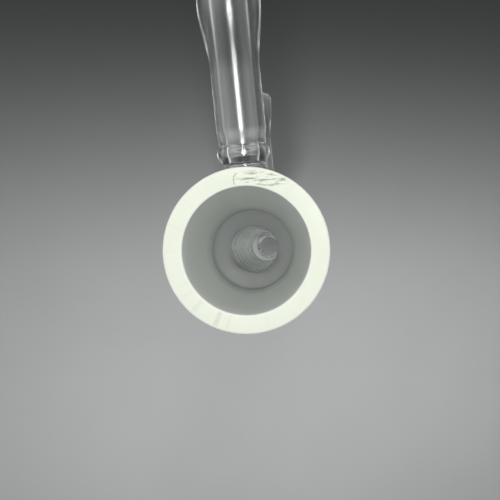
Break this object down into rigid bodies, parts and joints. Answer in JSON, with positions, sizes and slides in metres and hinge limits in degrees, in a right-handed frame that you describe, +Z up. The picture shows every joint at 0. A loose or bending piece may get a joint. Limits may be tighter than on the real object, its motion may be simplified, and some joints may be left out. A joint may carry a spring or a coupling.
{
  "type": "allihn condenser",
  "caption": "Glass reflux condenser: a string of bulbs inside a water jacket, with a ground socket on top, a ground cone with a drip tip below, and straight hose arms at one side.",
  "frame": {"origin": "on the condenser's axis, at the gauge plane of the lower ground cone, where its diameter is 24 mm", "axes": "+Z up along the condenser's axis, from the cone to the socket; +Y the way both hose arms point; +X to the right"},
  "size_m": [0.034, 0.077, 0.43],
  "materials": {
    "clear_glass": "clear, fire-polished borosilicate glass",
    "ground_glass": "frosted where it is ground: the tapers and the flat rim"
  },
  "bodies": {
    "root": {"socket_joint": "ground_glass", "upper_ring_seal": "clear_glass", "jacket_tube": "clear_glass", "bulb_tube": "clear_glass", "lower_ring_seal": "clear_glass", "cone_joint": "ground_glass", "drip_tip": "clear_glass", "upper_arm_seal": "clear_glass", "upper_hose_arm": "clear_glass", "lower_arm_seal": "clear_glass", "lower_hose_arm": "clear_glass"}
  },
  "joints": []
}
